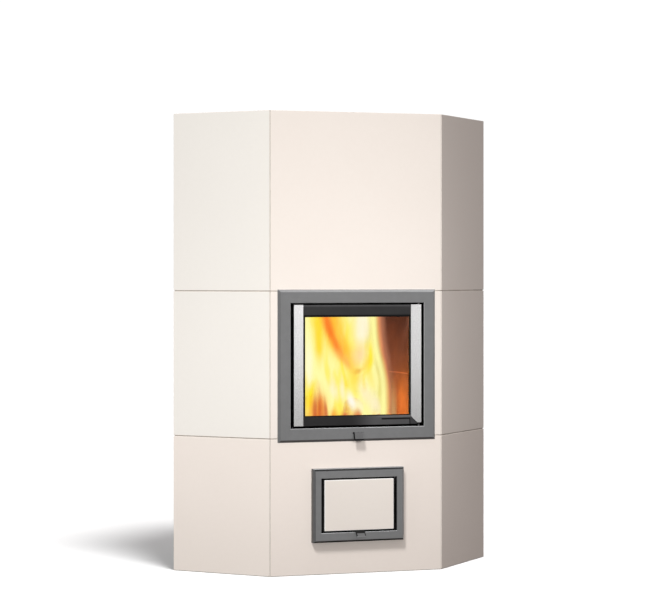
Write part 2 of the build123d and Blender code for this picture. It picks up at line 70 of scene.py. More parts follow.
# ------------------------------------------------------------------ materials
class M:
    """A small helper around one Principled material."""

    def __init__(self, name):
        self.mat = bpy.data.materials.new(name)
        self.mat.use_nodes = True
        self.nt = self.mat.node_tree
        self.nt.nodes.clear()
        self.out = self.node("ShaderNodeOutputMaterial")
        self.p = self.node("ShaderNodeBsdfPrincipled")
        self.link(self.p.outputs[0], self.out.inputs[0])
        self.tc = self.node("ShaderNodeTexCoord")
        self.obj = self.tc.outputs["Object"]

    def node(self, kind):
        return self.nt.nodes.new(kind)

    def link(self, a, b):
        self.nt.links.new(a, b)

    def set(self, **kw):
        for k, v in kw.items():
            self.p.inputs[k.replace("_", " ")].default_value = v
        return self

    def mapped(self, scale=(1, 1, 1), rot=(0, 0, 0), loc=(0, 0, 0), src=None):
        n = self.node("ShaderNodeMapping")
        n.inputs["Scale"].default_value = scale
        n.inputs["Rotation"].default_value = rot
        n.inputs["Location"].default_value = loc
        self.link(src or self.obj, n.inputs["Vector"])
        return n.outputs[0]

    def noise(self, scale, detail=3.0, rough=0.5, dist=0.0, vec=None):
        n = self.node("ShaderNodeTexNoise")
        n.inputs["Scale"].default_value = scale
        n.inputs["Detail"].default_value = detail
        n.inputs["Roughness"].default_value = rough
        n.inputs["Distortion"].default_value = dist
        self.link(vec or self.obj, n.inputs["Vector"])
        return n.outputs["Fac"]

    def voronoi(self, scale, feature="F1", vec=None, rand=1.0):
        n = self.node("ShaderNodeTexVoronoi")
        n.feature = feature
        n.inputs["Scale"].default_value = scale
        n.inputs["Randomness"].default_value = rand
        self.link(vec or self.obj, n.inputs["Vector"])
        return n.outputs["Distance"]

    def ramp(self, fac, stops, ease="LINEAR"):
        n = self.node("ShaderNodeValToRGB")
        n.color_ramp.interpolation = ease
        e = n.color_ramp.elements
        while len(e) < len(stops):
            e.new(0.5)
        for el, (pos, col) in zip(e, stops):
            el.position = pos
            el.color = (*col, 1.0) if len(col) == 3 else col
        self.link(fac, n.inputs["Fac"])
        return n.outputs["Color"]

    def remap(self, v, a, b, c, d, smooth=False):
        n = self.node("ShaderNodeMapRange")
        n.interpolation_type = "SMOOTHSTEP" if smooth else "LINEAR"
        for k, x in zip(("From Min", "From Max", "To Min", "To Max"), (a, b, c, d)):
            n.inputs[k].default_value = x
        self.link(v, n.inputs["Value"])
        return n.outputs[0]

    def math(self, op, a, b=None):
        n = self.node("ShaderNodeMath")
        n.operation = op
        for i, v in enumerate((a, b)):
            if v is None:
                continue
            if isinstance(v, (int, float)):
                n.inputs[i].default_value = v
            else:
                self.link(v, n.inputs[i])
        return n.outputs[0]

    def mix(self, fac, a, b, mode="MIX"):
        n = self.node("ShaderNodeMix")
        n.data_type = "RGBA"
        n.blend_type = mode
        if isinstance(fac, (int, float)):
            n.inputs[0].default_value = fac
        else:
            self.link(fac, n.inputs[0])
        for i, v in ((6, a), (7, b)):
            if isinstance(v, tuple):
                n.inputs[i].default_value = (*v, 1.0)
            else:
                self.link(v, n.inputs[i])
        return n.outputs[2]

    def split(self, src=None):
        n = self.node("ShaderNodeSeparateXYZ")
        self.link(src or self.obj, n.inputs[0])
        return n.outputs

    def colour(self, c):
        self.link(c, self.p.inputs["Base Color"])
        return self

    def rough(self, v):
        self.link(v, self.p.inputs["Roughness"])
        return self

    def bump(self, height, strength, distance, chain=None):
        n = self.node("ShaderNodeBump")
        n.inputs["Strength"].default_value = strength
        n.inputs["Distance"].default_value = distance
        self.link(height, n.inputs["Height"])
        if chain is not None:
            self.link(chain, n.inputs["Normal"])
        self.link(n.outputs[0], self.p.inputs["Normal"])
        return n.outputs[0]


def tile_material(name, light, dark, rough=(0.29, 0.33)):
    m = M(name)
    cloud = m.noise(3.1, 2.0, 0.5)
    fine = m.noise(70.0, 4.0, 0.55)
    base = m.ramp(cloud, [(0.3, dark), (0.7, light)])
    speck = m.ramp(fine, [(0.3, (0.990, 0.989, 0.987)), (0.7, (1.0, 1.0, 1.0))])
    m.colour(m.mix(1.0, base, speck, "MULTIPLY"))
    m.rough(m.remap(m.noise(9.0, 2.0), 0.3, 0.7, rough[0], rough[1]))
    m.set(Specular_IOR_Level=0.42)
    a = m.bump(m.noise(3.0, 1.0), 0.12, 0.0012)
    m.bump(m.noise(420.0, 2.0, 0.5), 0.25, 0.00005, a)
    return m.mat


def paint_material(name, col, rough, orange=0.35, gloss=0.5):
    m = M(name)
    c2 = tuple(v * 1.045 for v in col)
    c1 = tuple(v * 0.96 for v in col)
    m.colour(m.ramp(m.noise(38.0, 4.0, 0.6), [(0.32, c1), (0.68, c2)]))
    m.rough(m.remap(m.noise(90.0, 3.0), 0.3, 0.7, rough - 0.04, rough + 0.05))
    m.set(Specular_IOR_Level=gloss)
    m.bump(m.noise(900.0, 2.0, 0.5), orange, 0.00005)
    return m.mat


def steel_material(name, col, rough, along="z", scratch=0.5, metallic=1.0, shade=0.86):
    m = M(name)
    s = {"z": (900.0, 900.0, 6.0), "x": (6.0, 900.0, 900.0), "y": (900.0, 6.0, 900.0)}[along]
    v = m.mapped(scale=s)
    hair = m.noise(1.0, 3.0, 0.6, vec=v)
    spread = 0.07 if scratch > 0.3 else 0.02
    m.colour(m.ramp(hair, [(0.3, tuple(c * shade for c in col)), (0.7, col)]))
    m.rough(m.remap(hair, 0.3, 0.7, rough - spread, rough + spread))
    m.set(Metallic=metallic)
    m.bump(hair, scratch, 0.00002)
    return m.mat


def stone_material(name, a, b, grain=120.0, rough=0.9, bump=0.5, depth=0.0006, pits=True):
    m = M(name)
    big = m.noise(9.0, 5.0, 0.6)
    small = m.noise(grain, 4.0, 0.65)
    base = m.ramp(big, [(0.3, a), (0.7, b)])
    speck = m.ramp(small, [(0.3, (0.86, 0.86, 0.86)), (0.7, (1.06, 1.06, 1.06))])
    m.colour(m.mix(1.0, base, speck, "MULTIPLY"))
    m.set(Specular_IOR_Level=0.25)
    m.rough(m.remap(small, 0.3, 0.7, rough - 0.08, rough + 0.06))
    n = m.bump(small, bump, depth)
    if pits:
        pit = m.ramp(m.voronoi(95.0), [(0.0, (0.0, 0.0, 0.0)), (0.16, (1.0, 1.0, 1.0))])
        m.bump(pit, 0.4, depth, n)
    return m.mat


def rope_material(name):
    m = M(name)
    v = m.mapped(rot=(0.0, 0.6, 0.6), scale=(1, 1, 1))
    w = m.node("ShaderNodeTexWave")
    w.inputs["Scale"].default_value = 260.0
    w.inputs["Distortion"].default_value = 1.5
    m.link(v, w.inputs["Vector"])
    twist = w.outputs["Fac"]
    m.colour(m.ramp(twist, [(0.1, (0.035, 0.034, 0.033)), (0.8, (0.16, 0.155, 0.15))]))
    m.set(Roughness=0.95, Specular_IOR_Level=0.1)
    m.bump(twist, 0.8, 0.0008)
    return m.mat


def glass_material(name):
    # ceramic glass with a black printed border
    m = M(name)
    x, _, z = m.split()
    side = m.math("MAXIMUM", m.math("LESS_THAN", x, -0.1764), m.math("GREATER_THAN", x, 0.1828))
    ends = m.math("MAXIMUM", m.math("LESS_THAN", z, 0.5140), m.math("GREATER_THAN", z, 0.8336))
    rim = m.math("MAXIMUM", side, ends)
    ink = m.node("ShaderNodeBsdfPrincipled")
    ink.inputs["Base Color"].default_value = (0.002, 0.002, 0.002, 1.0)
    ink.inputs["Roughness"].default_value = 0.6
    ink.inputs["Specular IOR Level"].default_value = 0.05
    both = m.node("ShaderNodeMixShader")
    m.link(rim, both.inputs[0])
    m.link(m.p.outputs[0], both.inputs[1])
    m.link(ink.outputs[0], both.inputs[2])
    m.link(both.outputs[0], m.out.inputs["Surface"])
    m.set(Base_Color=(1.0, 1.0, 1.0, 1.0), Transmission_Weight=1.0, IOR=1.45, Specular_IOR_Level=0.3)
    m.rough(m.remap(m.noise(35.0, 3.0), 0.35, 0.75, 0.0, 0.012))
    return m.mat


TILE = tile_material("tile_glaze", (0.902, 0.829, 0.764), (0.886, 0.811, 0.744))
# Tinted copies of the same glaze are painted light: a cooler one for the upper and middle left tiles, a pinker one for
# the lowest course.
TILE_COOL_LIGHT = tile_material("tile_glaze_cool_painted_light", (0.900, 0.862, 0.806), (0.887, 0.849, 0.792))
TILE_LOW_LIGHT = tile_material("tile_glaze_low_painted_light", (0.900, 0.816, 0.749), (0.885, 0.801, 0.733))
TILE_EDGE = tile_material("tile_glaze_edge", (0.91, 0.85, 0.79), (0.88, 0.815, 0.75), (0.22, 0.3))
INLAY = tile_material("inlay_glaze", (0.85, 0.785, 0.725), (0.83, 0.765, 0.70))
# A much lighter, glossier edge glaze for the inlay: painted highlight on its rounded edges.
INLAY_EDGE_HIGHLIGHT = tile_material("inlay_glaze_edge_highlight", (0.97, 0.955, 0.925), (0.96, 0.945, 0.915), (0.16, 0.22))
JOINT = stone_material("joint_filler", (0.50, 0.45, 0.40), (0.60, 0.54, 0.48), 260.0, 0.92, 0.4, 0.0003, False)
# A dark stone tone for the tiles' lowest edge: painted contact shadow along the floor.
FOOT_SHADOW = stone_material("tile_foot_painted_shadow", (0.22, 0.195, 0.18), (0.28, 0.25, 0.23), 260.0, 0.92, 0.4, 0.0003, False)
BOARD = stone_material("panel_board", (0.56, 0.55, 0.53), (0.63, 0.62, 0.60), 150.0, 0.9, 0.35, 0.0003, False)
SLAB = stone_material("cover_slab", (0.50, 0.475, 0.44), (0.58, 0.55, 0.51), 110.0, 0.88, 0.5, 0.0008, True)
VERM = stone_material("insulation", (0.50, 0.41, 0.24), (0.62, 0.52, 0.32), 200.0, 0.95, 0.6, 0.0008, True)
CAST = stone_material("refractory", (0.40, 0.375, 0.335), (0.47, 0.44, 0.40), 130.0, 0.92, 0.5, 0.0008, True)
FRAME = paint_material("frame_paint", (0.170, 0.172, 0.173), 0.42)
# A lighter copy of the frame paint for rounded edges: painted highlight.
FRAME_EDGE_HIGHLIGHT = paint_material("frame_paint_edge_highlight", (0.230, 0.232, 0.234), 0.36)
# A lighter copy of the frame paint for the lower frame: painted light.
FRAME_LOW_LIT = paint_material("frame_paint_low_painted_light", (0.184, 0.186, 0.187), 0.42)
# A still lighter copy of the frame paint: painted highlight on inner chamfers and on the lines beside the lower frame's
# shadow seams.
RIM = paint_material("frame_paint_rim_highlight", (0.330, 0.332, 0.334), 0.34)
# A darker copy of the frame paint: painted shade on bevels and sides that face away from the light.
SHADE = paint_material("frame_paint_side_shade", (0.085, 0.082, 0.083), 0.5)
# A darker copy of the frame paint: painted shade on the lever and pull and on the lower frame's left bevel and reveal
# sides.
TAB = paint_material("tab_paint_shade", (0.112, 0.113, 0.115), 0.46)
LEAF = paint_material("leaf_paint", (0.0055, 0.0055, 0.0057), 0.62, 0.35, 0.25)
# Near-black: painted shade in the frames' rebates, throat and reveal, and along the lever's left side and top.
GAP_SHADE = paint_material("gap_black_shade", (0.0015, 0.0015, 0.0015), 0.85, 0.2, 0.04)
# Near-black: painted shadow seams on the lower frame, painted shade on the tabs' lips and sides and in the lower band's
# groove.
SEAM_SHADE = paint_material("seam_black_shade", (0.006, 0.0061, 0.0063), 0.6, 0.2, 0.25)


def band_material():
    # black paint with painted sheen: greyer along the top band's upper edge and along the lower band towards the mitred
    # end, a painted highlight along the lower band's top edge, darker at its tip
    m = M("band_paint")
    x, _, z = m.split()
    top = m.remap(z, 0.8645, 0.8715, 0.18, 0.575, True)
    high = m.remap(z, 0.600, 0.601, 0.0, 1.0)
    low = m.remap(x, -0.025, 0.065, 0.036, 0.47, True)
    under = m.remap(z, 0.600, 0.601, 1.0, 0.0)
    rim = m.math("MULTIPLY", m.remap(z, 0.5045, 0.5085, 0.0, 0.42, True), m.remap(x, 0.05, 0.09, 0.0, 1.0, True))
    tip = m.math("MULTIPLY", m.remap(x, 0.1800, 0.1830, 0.0, -0.24), m.remap(z, 0.5040, 0.5060, 1.0, 0.0))
    low = m.math("ADD", m.math("ADD", low, rim), tip)
    # painted sheen and highlight, mixed into the black paint below
    painted_sheen = m.math("ADD", m.math("MULTIPLY", top, high), m.math("MULTIPLY", low, under))
    tone = m.ramp(painted_sheen, [(0.0, (0.011, 0.011, 0.0115)), (1.0, (0.125, 0.125, 0.128))])
    grain = m.ramp(m.noise(38.0, 4.0, 0.6), [(0.32, (0.94, 0.94, 0.94)), (0.68, (1.06, 1.06, 1.06))])
    m.colour(m.mix(1.0, tone, grain, "MULTIPLY"))
    m.rough(m.remap(m.noise(90.0, 3.0), 0.3, 0.7, 0.36, 0.44))
    m.bump(m.noise(900.0, 2.0, 0.5), 0.3, 0.00005)
    return m.mat


BAND = band_material()
STEEL = steel_material("polished_steel", (0.88, 0.88, 0.88), 0.24, "z", 0.12, metallic=0.8, shade=0.965)
PLAIN = steel_material("plain_steel", (0.42, 0.42, 0.43), 0.42, "y", 0.6)
IRON = stone_material("cast_iron", (0.045, 0.045, 0.047), (0.07, 0.07, 0.072), 300.0, 0.6, 0.5, 0.0003, False)
ROPE = rope_material("rope_seal")
GLASS = glass_material("door_glass")


def brick_material():
    m = M("firebrick")
    x, y, z = m.split()
    big = m.noise(14.0, 5.0, 0.6)
    small = m.noise(170.0, 4.0, 0.65)
    base = m.ramp(big, [(0.3, (0.20, 0.085, 0.055)), (0.72, (0.30, 0.135, 0.085))])
    soot = m.math("MULTIPLY", m.remap(z, 0.54, 0.69, 1.0, 0.72, True), m.remap(z, 0.69, 0.90, 1.0, 0.88, True))
    n = m.node("ShaderNodeCombineColor")
    for i in range(3):
        m.link(soot, n.inputs[i])
    speck = m.ramp(small, [(0.3, (0.85, 0.85, 0.85)), (0.7, (1.08, 1.08, 1.08))])
    m.colour(m.mix(1.0, m.mix(1.0, base, n.outputs[0], "MULTIPLY"), speck, "MULTIPLY"))
    m.set(Specular_IOR_Level=0.2)
    m.rough(m.remap(small, 0.3, 0.7, 0.82, 0.95))
    m.bump(small, 0.5, 0.0008)
    return m.mat


BRICK = brick_material()
BRICK_EDGE = stone_material("firebrick_edge", (0.40, 0.17, 0.10), (0.52, 0.23, 0.14), 160.0, 0.9, 0.4, 0.0005, False)

SLOT_MAT = {"tile_glaze": TILE, "joint_filler": JOINT, "panel_board": BOARD, "cover_slab": SLAB, "insulation": VERM,
            "refractory": CAST, "firebrick": BRICK, "frame_paint": FRAME, "leaf_paint": LEAF, "polished_steel": STEEL,
            "door_glass": GLASS, "rope_seal": ROPE, "plain_steel": PLAIN, "cast_iron": IRON}
node_slot = {s["node"]: s["material_slot"] for s in frame["record"]["subparts"]}
body_of_node = {n: b for b, ns in frame["record"]["behaviour"]["bodies"].items() for n in ns}

for name, ob in NODES.items():
    ob.data.materials.clear()
    ob.data.materials.append(SLOT_MAT[node_slot[name]])


# ------------------------------------------------------------------ pieces that replace CAD nodes
def put(bm, name, mats):
    me = bpy.data.meshes.new(name)
    bm.to_mesh(me)
    bm.free()
    ob = bpy.data.objects.new(name, me)
    bpy.context.scene.collection.objects.link(ob)
    for m in mats:
        me.materials.append(m)
    return ob


def clean_copy(node):
    bm = bmesh.new()
    bm.from_mesh(NODES[node].data)
    bmesh.ops.remove_doubles(bm, verts=bm.verts, dist=2e-6)
    bmesh.ops.dissolve_limit(bm, angle_limit=math.radians(0.4), verts=bm.verts, edges=bm.edges,
                             use_dissolve_boundaries=False)
    bmesh.ops.recalc_face_normals(bm, faces=bm.faces)
    return bm


def rounded(node, width, segs=3, mat=None, edge=None, angle=28.0, only=None, cuts=()):
    """The CAD node's own shape with its sharp edges rounded by width mm.
    cuts are planes (point, normal) that divide its faces, so that they can be painted apart."""
    bm = clean_copy(node)
    sharp = []
    for e in bm.edges:
        if len(e.link_faces) != 2 or e.calc_face_angle(0.0) < math.radians(angle):
            continue
        if only is None or only(e):
            sharp.append(e)
    mats = [mat or SLOT_MAT[node_slot[node]]]
    kw = {}
    if edge is not None:
        mats.append(edge)
        kw["material"] = 1
    bmesh.ops.bevel(bm, geom=sharp, offset=width / 1000.0, offset_type="OFFSET", segments=segs, profile=0.5,
                    affect="EDGES", clamp_overlap=True, **kw)
    for at, no in cuts:
        bmesh.ops.bisect_plane(bm, geom=bm.verts[:] + bm.edges[:] + bm.faces[:], dist=1e-6, plane_co=P(*at),
                               plane_no=Vector(no))
    for f in bm.faces:
        f.smooth = True
    ob = put(bm, node + "_shape", mats)
    ob.data.set_sharp_from_angle(angle=math.radians(38))
    w = ob.modifiers.new("flat_faces", "WEIGHTED_NORMAL")
    w.keep_sharp = True
    w.weight = 90
    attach(ob, body_of_node[node])
    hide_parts(node)
    return ob


def recolour(ob, mat, test):
    """Give mat to the faces for which test(x, y, z, normal) holds; millimetres from the front tile face."""
    me = ob.data
    me.materials.append(mat)
    k = len(me.materials) - 1
    for f in me.polygons:
        c = f.center
        if test(c.x * 1000.0, (c.y - YF) * 1000.0, c.z * 1000.0, f.normal):
            f.material_index = k
    return ob


for n in ("tile_lower_front", "tile_lower_left", "tile_lower_right", "tile_jamb_left", "tile_jamb_right",
          "tile_middle_left", "tile_middle_right", "tile_upper_front", "tile_upper_left", "tile_upper_right"):
    # the cooler and pinker glaze copies chosen here are painted light
    ob = rounded(n, 1.6, 3, {"tile_upper_left": TILE_COOL_LIGHT, "tile_middle_left": TILE_COOL_LIGHT}.get(n, TILE_LOW_LIGHT if "lower" in n else TILE),
                 TILE_EDGE)
    if "lower" in n:
        # a dark band along the foot of the lowest tiles: painted contact shadow where they meet the floor
        recolour(ob, FOOT_SHADOW, lambda x, y, z, n: z < 2.2)
# the inlay's rounded edges get the lighter edge glaze: painted highlight
rounded("ash_inlay", 2.2, 4, INLAY, INLAY_EDGE_HIGHLIGHT)

# the fire frame's rounded edges get the lighter edge paint: painted highlight
ff = rounded("fire_frame", 0.9, 2, FRAME, FRAME_EDGE_HIGHLIGHT)
# lighter paint on the inner chamfer around the opening: painted highlight
recolour(ff, RIM, lambda x, y, z, n: abs(x) < 231.0 and 473.0 < z < 881.5 and y < -10.3 and abs(n.y) < 0.9)
# near-black in the throat behind the tiles and on the rebate walls: painted shade
recolour(ff, GAP_SHADE, lambda x, y, z, n: y > 0.2 or (abs(x) < 229.6 and 474.4 < z < 880.1 and y > -10.3))
# darker paint on the downward-facing bottom bevel: painted shade
recolour(ff, SHADE, lambda x, y, z, n: z < 438.5 and n.z < -0.5 and y < -1.0)

# the lower frame is in a lighter copy of the frame paint (painted light), with black painted shadow seams along its top
# and bottom bevels
af = rounded("ash_frame", 1.3, 3, FRAME_LOW_LIT, FRAME_EDGE_HIGHLIGHT, cuts=[((0, 0, 342.0), (0, 0, 1)), ((0, 0, 110.2), (0, 0, 1))])
# lighter paint on the reveal's top and bottom chamfers: painted highlight
recolour(af, RIM, lambda x, y, z, n: abs(x) < 130.6 and 135.4 < z < 314.6 and y < -24.6 and 0.3 < abs(n.z) and abs(n.y) < 0.97)
# darker paint on the reveal's side chamfers: painted shade
recolour(af, TAB, lambda x, y, z, n: abs(x) < 130.6 and 135.4 < z < 314.6 and y < -24.6 and 0.3 < abs(n.x))
# near-black inside the reveal: painted shade
recolour(af, GAP_SHADE, lambda x, y, z, n: abs(x) < 129.6 and 136.4 < z < 313.6 and y > -24.7)
# darker paint on the frame's left side: painted shade
recolour(af, SHADE, lambda x, y, z, n: n.x < -0.9 and x < -150.0)
# darker paint on the left bevel: painted shade
recolour(af, TAB, lambda x, y, z, n: -0.85 < n.x < -0.5 and x < -147.0)
# black on the top and bottom bevels: painted shadow seams
recolour(af, SEAM_SHADE, lambda x, y, z, n: 336.8 < z < 342.0 and 0.3 < n.z < 0.9 or z < 110.2 and n.z < -0.45)
# lighter lines beside the seams: painted highlight
recolour(af, RIM, lambda x, y, z, n: (335.0 < z < 336.8 or 112.3 < z < 114.5) and 0.05 < abs(n.z) < 0.65)

# the lever is in the darker tab paint (painted shade), with painted highlight on its rounded edges
lever = rounded("air_lever", 0.6, 2, TAB, FRAME_EDGE_HIGHLIGHT, cuts=[((-13.4, 0, 0), (1, 0, 0))])
# near-black on the lever's left side, left strip and top: painted shade
recolour(lever, GAP_SHADE, lambda x, y, z, n: n.x < -0.6 or x < -13.4 or (n.z > 0.8 and z > 458.0))
# near-black on the front of the lever's lower lip: painted shade
recolour(lever, SEAM_SHADE, lambda x, y, z, n: n.y < -0.8 and z < 438.0)
# the pull is in the darker tab paint: painted shade
pull = rounded("ash_pull", 0.6, 2, TAB, TAB,
               cuts=[((0, 0, 134.2), (0, 0, 1)), ((-12.6, 0, 0), (1, 0, 0)), ((12.6, 0, 0), (1, 0, 0))])
# near-black on the pull's sides, top and outer margins: painted shade
recolour(pull, SEAM_SHADE, lambda x, y, z, n: abs(n.x) > 0.6 or z > 134.2 or abs(x) > 12.6)
# lighter edge paint on the front of the pull's lower lip: painted highlight
recolour(pull, FRAME_EDGE_HIGHLIGHT, lambda x, y, z, n: n.y < -0.7 and z < 126.0)
rounded("fire_handle_strip", 0.5, 2, STEEL)
rounded("fire_trim_strip", 0.5, 2, STEEL)
rounded("fire_band_top", 0.4, 2, BAND)
band_low = rounded("fire_band_bottom", 0.3, 2, BAND)
# near-black inside the lower band's groove: painted shade
recolour(band_low, SEAM_SHADE, lambda x, y, z, n: 81.0 < x < 182.4 and 482.0 < z < 504.6 and (n.y < -0.5 and y > -9.4 or abs(n.y) < 0.5 and z > 483.4))
for n in ("rear_panel_left", "rear_panel_right", "rear_panel_centre"):
    rounded(n, 1.2, 2)


def brick_wall(node, beds=(0.488, 0.644, 0.834, 0.908)):
    """The stacked bricks of one firebox wall, each with rounded, slightly worn arrises."""
    lo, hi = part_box(node)
    bm = bmesh.new()
    for z0, z1 in zip(beds[:-1], beds[1:]):
        got = bmesh.ops.create_cube(bm, size=1.0)["verts"]
        for v in got:
            v.co = Vector((lo[0] + (v.co.x + 0.5) * (hi[0] - lo[0]), lo[1] + (v.co.y + 0.5) * (hi[1] - lo[1]),
                           z0 + 0.0002 + (v.co.z + 0.5) * (z1 - z0 - 0.0004)))
    bmesh.ops.bevel(bm, geom=bm.edges[:], offset=0.0017, offset_type="OFFSET", segments=3, profile=0.6,
                    affect="EDGES", material=1)
    for v in bm.verts:
        w = mnoise.noise(v.co * 40.0) * 0.0003
        v.co.x += w * (1.0 if v.co.x < 0 else -1.0) * 0.5
    for f in bm.faces:
        f.smooth = True
    ob = put(bm, node + "_shape", [BRICK, BRICK_EDGE])
    ob.data.set_sharp_from_angle(angle=math.radians(38))
    w = ob.modifiers.new("flat_faces", "WEIGHTED_NORMAL")
    w.keep_sharp = True
    w.weight = 90
    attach(ob, body_of_node[node])
    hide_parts(node)
    return ob


for n in ("firebrick_left", "firebrick_right", "firebrick_rear"):
    brick_wall(n)
rounded("top_cover", 2.0, 2)
rounded("flue_collar", 1.0, 2)


# ------------------------------------------------------------------ the fire: seen, but no part of the stove
def srgb(r, g, b):
    return tuple((v / 255.0 / 12.92) if v <= 10.3 else ((v / 255.0 + 0.055) / 1.055) ** 2.4 for v in (r, g, b))


def flame_material(name, core, rim, soft=0.5, alpha=1.0, ends=(0.15, 0.25), vary=0.35, grain=26.0, mid=None):
    m = M(name)
    uvn = m.node("ShaderNodeUVMap")
    uvn.uv_map = "flame"
    u, v, _ = m.split(uvn.outputs[0])
    e1 = m.remap(u, 0.0, soft, 0.0, 1.0, True)
    e2 = m.remap(u, 1.0, 1.0 - soft, 0.0, 1.0, True)
    edge = m.math("MULTIPLY", e1, e2)
    b = m.remap(v, 0.0, max(ends[0], 0.001), 0.0, 1.0, True)
    t = m.remap(v, 1.0, 1.0 - max(ends[1], 0.001), 0.0, 1.0, True)
    body = m.math("MULTIPLY", m.math("MULTIPLY", b, t), edge)
    tongue = m.noise(grain, 2.5, 0.5, 0.6, vec=m.mapped(scale=(1.0, 0.6, 0.26)))
    heat = m.math("ADD", edge, m.remap(tongue, 0.25, 0.75, -vary, vary))
    stops = [(0.0, rim), (0.95, core)] if mid is None else [(0.0, rim), (0.5, mid), (1.0, core)]
    m.link(m.ramp(heat, stops, "EASE"), m.p.inputs["Emission Color"])
    fade = m.math("MULTIPLY", body, m.remap(tongue, 0.2, 0.55, 1.0 - vary, 1.0))
    m.link(m.math("MULTIPLY", fade, alpha), m.p.inputs["Alpha"])
    m.set(Base_Color=(0.0, 0.0, 0.0, 1.0), Roughness=1.0, Specular_IOR_Level=0.0, Emission_Strength=1.09)
    return m.mat


def spline(pts, t):
    # Catmull-Rom through rows of equal length, t from 0 to 1
    n = len(pts) - 1
    f = min(max(t, 0.0), 0.99999) * n
    i = int(f)
    f -= i
    a, b, c, d = pts[max(i - 1, 0)], pts[i], pts[i + 1], pts[min(i + 2, n)]
    return [0.5 * (2 * q + (r - p_) * f + (2 * p_ - 5 * q + 4 * r - s_) * f * f + (3 * q - p_ - 3 * r + s_) * f ** 3)
            for p_, q, r, s_ in zip(a, b, c, d)]


def tongue(name, y, pts, mat, bow=14.0, wave=4.0, nu=12, nv=36, seed=0.0, turn=0.0):
    """A curved sheet of flame: pts are (x, z, half width) from the bottom up, in mm."""
    bm = bmesh.new()
    uv = bm.loops.layers.uv.new("flame")
    rows = []
    for j in range(nv + 1):
        x, z, h = spline(pts, j / nv)
        row = []
        for i in range(nu + 1):
            k = 2.0 * i / nu - 1.0
            w = mnoise.noise(Vector((k * 1.3 + seed, z * 0.011, seed * 1.7)))
            w2 = mnoise.noise(Vector((seed - 7.1, z * 0.02, k * 0.6)))
            dx, dy = h * k * math.cos(turn), h * k * math.sin(turn)
            row.append(bm.verts.new(P(x + dx + w2 * wave * 0.5, y + dy + bow * k * k + w * wave, z)))
        rows.append(row)
    for j in range(nv):
        for i in range(nu):
            f = bm.faces.new((rows[j][i], rows[j][i + 1], rows[j + 1][i + 1], rows[j + 1][i]))
            f.smooth = True
            for lp, (a, b) in zip(f.loops, ((i, j), (i + 1, j), (i + 1, j + 1), (i, j + 1))):
                lp[uv].uv = (a / nu, b / nv)
    ob = put(bm, "fire_" + name, [mat])
    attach(ob, "loose_grate")
    ob.visible_diffuse = False
    ob.visible_shadow = False
    return ob


WHITE, CREAM = srgb(255, 251, 240), srgb(255, 248, 218)
PALE, YELLOW, GOLD = srgb(255, 244, 138), srgb(255, 232, 76), srgb(255, 214, 44)
AMBER, ORANGE, EMBER = srgb(253, 166, 42), srgb(249, 112, 26), srgb(206, 70, 30)
PEACH = srgb(254, 210, 160)

F_BODY = flame_material("flame_body", srgb(255, 249, 168), YELLOW, 0.07, 1.0, (0.02, 0.08), 0.75, 19.0, srgb(255, 241, 116))
F_BACK = flame_material("flame_back", YELLOW, GOLD, 0.16, 1.0, (0.02, 0.10), 0.6, 20.0, srgb(255, 236, 110))
F_STREAK = flame_material("flame_streak", srgb(249, 124, 34), srgb(254, 180, 52), 0.5, 1.0, (0.72, 0.05), 0.30, 30.0)
F_AMBER = flame_material("flame_amber", srgb(254, 186, 48), srgb(255, 214, 60), 0.5, 0.85, (0.45, 0.05), 0.3, 30.0)
F_HOOK = flame_material("flame_hook", srgb(255, 190, 46), srgb(255, 222, 66), 0.5, 0.45, (0.45, 0.3), 0.3, 30.0)
F_GOLD = flame_material("flame_gold", srgb(255, 218, 44), srgb(255, 234, 92), 0.5, 0.95, (0.5, 0.17), 0.3, 30.0)
F_FIELD = flame_material("flame_field", srgb(255, 216, 58), srgb(255, 236, 104), 0.5, 0.9, (0.75, 0.05), 0.35, 26.0)
F_SAT = flame_material("flame_saturated", srgb(255, 230, 34), srgb(255, 238, 80), 0.5, 0.95, (0.4, 0.4), 0.2, 30.0)
F_WHITE = flame_material("flame_white", srgb(254, 245, 216), srgb(255, 242, 178), 0.5, 0.92, (0.45, 0.05), 0.25, 24.0)
F_SPARK = flame_material("flame_spark", WHITE, CREAM, 0.5, 0.9, (0.45, 0.5), 0.2, 34.0)
F_VEIL = flame_material("flame_veil", srgb(255, 250, 225), CREAM, 0.5, 0.6, (0.4, 0.45), 0.2, 30.0)
F_CREAM = flame_material("flame_cream", srgb(254, 244, 204), PALE, 0.5, 0.8, (0.4, 0.5), 0.3, 34.0)
F_PEACH = flame_material("flame_peach", srgb(252, 212, 166), srgb(254, 226, 160), 0.5, 0.85, (0.45, 0.45), 0.25, 30.0)
F_PALEP = flame_material("flame_pale_peach", srgb(252, 236, 202), srgb(254, 242, 170), 0.5, 0.75, (0.4, 0.5), 0.25, 34.0)
F_LOW = flame_material("flame_low", srgb(245, 142, 42), srgb(255, 204, 60), 0.5, 0.95, (0.02, 0.55), 0.4, 42.0)
F_DARK = flame_material("flame_dark", srgb(198, 88, 42), srgb(242, 144, 52), 0.5, 0.78, (0.02, 0.55), 0.35, 60.0)
F_SPOT = flame_material("flame_spot", srgb(216, 96, 44), srgb(250, 168, 52), 0.5, 1.0, (0.02, 0.6), 0.3, 60.0)
F_JOIN = flame_material("flame_join", srgb(232, 160, 56), srgb(252, 200, 70), 0.5, 0.55, (0.5, 0.5), 0.5, 60.0)
F_EDGE = flame_material("flame_edge", srgb(255, 249, 160), srgb(255, 240, 130), 0.5, 1.0, (0.02, 0.06), 0.15, 30.0)
F_RIM = flame_material("flame_rim", srgb(230, 148, 98), srgb(190, 110, 80), 0.5, 0.85, (0.02, 0.06), 0.25, 26.0)
F_TAN = flame_material("flame_tan", srgb(204, 158, 102), srgb(158, 104, 56), 0.5, 0.8, (0.02, 0.95), 0.3, 26.0)
